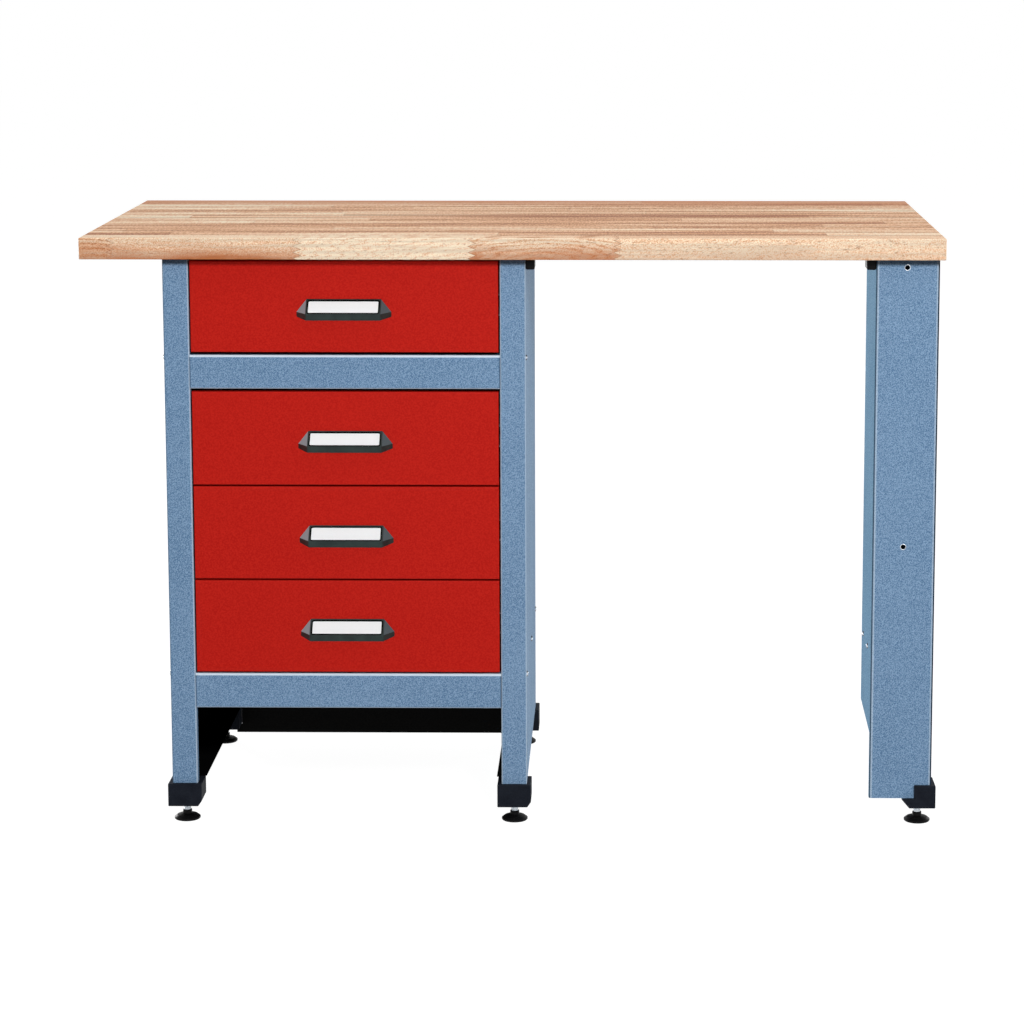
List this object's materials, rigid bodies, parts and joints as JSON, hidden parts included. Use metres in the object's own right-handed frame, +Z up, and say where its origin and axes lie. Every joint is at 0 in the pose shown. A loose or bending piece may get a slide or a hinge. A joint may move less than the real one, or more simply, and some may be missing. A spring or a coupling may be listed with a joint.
{
  "type": "workbench",
  "caption": "Steel workbench with a thick beech worktop, a drawer cabinet under one end, a boxed sheet leg under the other and screw-adjustable feet.",
  "frame": {"origin": "centre of the footprint of the whole bench, on the floor", "axes": "+Z up, +X along the worktop towards the leg, the drawers open towards -Y"},
  "size_m": [1.2, 0.6, 0.84],
  "materials": {
    "beech": "oiled, finger-jointed staves",
    "blue_paint": "hammered grey-blue paint",
    "red_paint": "textured red paint",
    "grey_paint": "plain grey paint",
    "black_paint": "matt black paint",
    "black_plastic": "moulded",
    "dark_plastic": "moulded",
    "white_card": "blank card",
    "nylon": "plain nylon",
    "zinc": "zinc plated"
  },
  "bodies": {
    "bench": {"worktop": "beech", "left_side_panel": "blue_paint", "centre_side_panel": "blue_paint", "leg_side_panel": "blue_paint", "leg_cover": "blue_paint", "leg_brace": "blue_paint", "middle_rail": "blue_paint", "bottom_rail": "blue_paint", "cabinet_floor": "black_paint", "back_panel": "black_paint", "frame_screws": "zinc", "foot_nuts": "zinc", "runner_glides": "nylon", "foot_cap_left_front": "black_plastic", "foot_cap_left_rear": "black_plastic", "foot_cap_centre_front": "black_plastic", "foot_cap_centre_rear": "black_plastic", "foot_cap_leg_front": "black_plastic", "foot_cap_leg_rear": "black_plastic", "runners_1": "zinc", "runners_2": "zinc", "runners_3": "zinc", "runners_4": "zinc"},
    "drawer_1": {"drawer_1_front": "red_paint", "drawer_1_box": "grey_paint", "drawer_1_handle": "dark_plastic", "drawer_1_label": "white_card", "drawer_1_handle_screws": "zinc", "drawer_1_glides": "nylon"},
    "drawer_2": {"drawer_2_front": "red_paint", "drawer_2_box": "grey_paint", "drawer_2_handle": "dark_plastic", "drawer_2_label": "white_card", "drawer_2_handle_screws": "zinc", "drawer_2_glides": "nylon"},
    "drawer_3": {"drawer_3_front": "red_paint", "drawer_3_box": "grey_paint", "drawer_3_handle": "dark_plastic", "drawer_3_label": "white_card", "drawer_3_handle_screws": "zinc", "drawer_3_glides": "nylon"},
    "drawer_4": {"drawer_4_front": "red_paint", "drawer_4_box": "grey_paint", "drawer_4_handle": "dark_plastic", "drawer_4_label": "white_card", "drawer_4_handle_screws": "zinc", "drawer_4_glides": "nylon"},
    "foot_left_front": {"foot_stud_left_front": "zinc", "foot_pad_left_front": "black_plastic"},
    "foot_left_rear": {"foot_stud_left_rear": "zinc", "foot_pad_left_rear": "black_plastic"},
    "foot_centre_front": {"foot_stud_centre_front": "zinc", "foot_pad_centre_front": "black_plastic"},
    "foot_centre_rear": {"foot_stud_centre_rear": "zinc", "foot_pad_centre_rear": "black_plastic"},
    "foot_leg_front": {"foot_stud_leg_front": "zinc", "foot_pad_leg_front": "black_plastic"},
    "foot_leg_rear": {"foot_stud_leg_rear": "zinc", "foot_pad_leg_rear": "black_plastic"}
  },
  "joints": [
    {"name": "drawer_1_slide", "type": "slide", "parent": "bench", "child": "drawer_1", "axis": [0, -1, 0], "range_m": [0, 0.334]},
    {"name": "drawer_2_slide", "type": "slide", "parent": "bench", "child": "drawer_2", "axis": [0, -1, 0], "range_m": [0, 0.334]},
    {"name": "drawer_3_slide", "type": "slide", "parent": "bench", "child": "drawer_3", "axis": [0, -1, 0], "range_m": [0, 0.334]},
    {"name": "drawer_4_slide", "type": "slide", "parent": "bench", "child": "drawer_4", "axis": [0, -1, 0], "range_m": [0, 0.334]},
    {"name": "foot_left_front_level", "type": "slide", "parent": "bench", "child": "foot_left_front", "axis": [0, 0, 1], "range_m": [-0.02, 0]},
    {"name": "foot_left_rear_level", "type": "slide", "parent": "bench", "child": "foot_left_rear", "axis": [0, 0, 1], "range_m": [-0.02, 0]},
    {"name": "foot_centre_front_level", "type": "slide", "parent": "bench", "child": "foot_centre_front", "axis": [0, 0, 1], "range_m": [-0.02, 0]},
    {"name": "foot_centre_rear_level", "type": "slide", "parent": "bench", "child": "foot_centre_rear", "axis": [0, 0, 1], "range_m": [-0.02, 0]},
    {"name": "foot_leg_front_level", "type": "slide", "parent": "bench", "child": "foot_leg_front", "axis": [0, 0, 1], "range_m": [-0.02, 0]},
    {"name": "foot_leg_rear_level", "type": "slide", "parent": "bench", "child": "foot_leg_rear", "axis": [0, 0, 1], "range_m": [-0.02, 0]}
  ]
}
